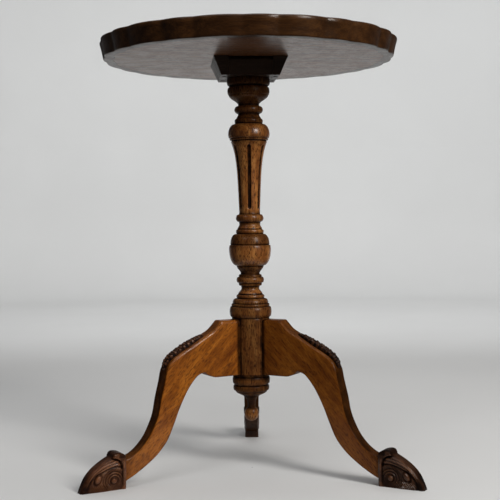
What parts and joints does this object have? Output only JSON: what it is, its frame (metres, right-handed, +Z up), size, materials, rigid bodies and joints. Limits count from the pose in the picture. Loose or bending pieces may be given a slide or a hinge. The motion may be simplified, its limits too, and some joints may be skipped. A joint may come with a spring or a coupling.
{
  "type": "tilt top table",
  "caption": "Tripod table: turned and fluted column on curved legs with carved scroll feet, and a round scalloped tray top that tilts upright on pivots.",
  "frame": {"origin": "on the column's axis at floor level, midway between the three feet", "axes": "+Z up, -Y towards the side that the top's face turns to when it is tilted, with one leg along +Y and two legs at the front"},
  "size_m": [0.5468, 0.5515, 0.71],
  "materials": {
    "top_wood": "reddish brown mahogany, semi-gloss lacquer",
    "rim_wood": "very dark brown stained mahogany, gloss lacquer",
    "block_wood": "near-black stained wood, satin",
    "column_wood": "dark red-brown mahogany, gloss lacquer",
    "leg_wood": "orange-brown mahogany with straight grain, gloss lacquer",
    "carved_wood": "dark brown stained carving, lacquered",
    "wedge_wood": "plain pale hardwood, unfinished",
    "brass": "aged brass",
    "steel": "dull steel"
  },
  "bodies": {
    "base": {"column": "column_wood", "tenon_wedge": "wedge_wood", "tilt_block": "block_wood", "pivot_pins": "steel", "pendant": "column_wood", "leg_left": "leg_wood", "leg_right": "leg_wood", "leg_rear": "leg_wood", "foot_left": "carved_wood", "foot_right": "carved_wood", "foot_rear": "carved_wood", "foot_dowels": "wedge_wood", "knee_carving_left": "carved_wood", "knee_carving_right": "carved_wood", "knee_carving_rear": "carved_wood", "keeper": "brass", "keeper_screws": "brass"},
    "top": {"top_board": "top_wood", "rim_moulding": "rim_wood", "bearer_left": "block_wood", "bearer_right": "block_wood", "bearer_screws": "steel", "catch_plate": "brass", "catch_screws": "brass"},
    "bolt": {"catch_bolt": "brass", "catch_knob": "brass"}
  },
  "joints": [
    {"name": "top_tilt", "type": "hinge", "parent": "base", "child": "top", "pos_m": [0.00415, -0.05156, 0.6734], "axis": [0.9968, 0.0802, 0], "range_deg": [0, 90]},
    {"name": "catch_slide", "type": "slide", "parent": "top", "child": "bolt", "axis": [0.0802, -0.9968, 0], "range_m": [0, 0.012]}
  ]
}
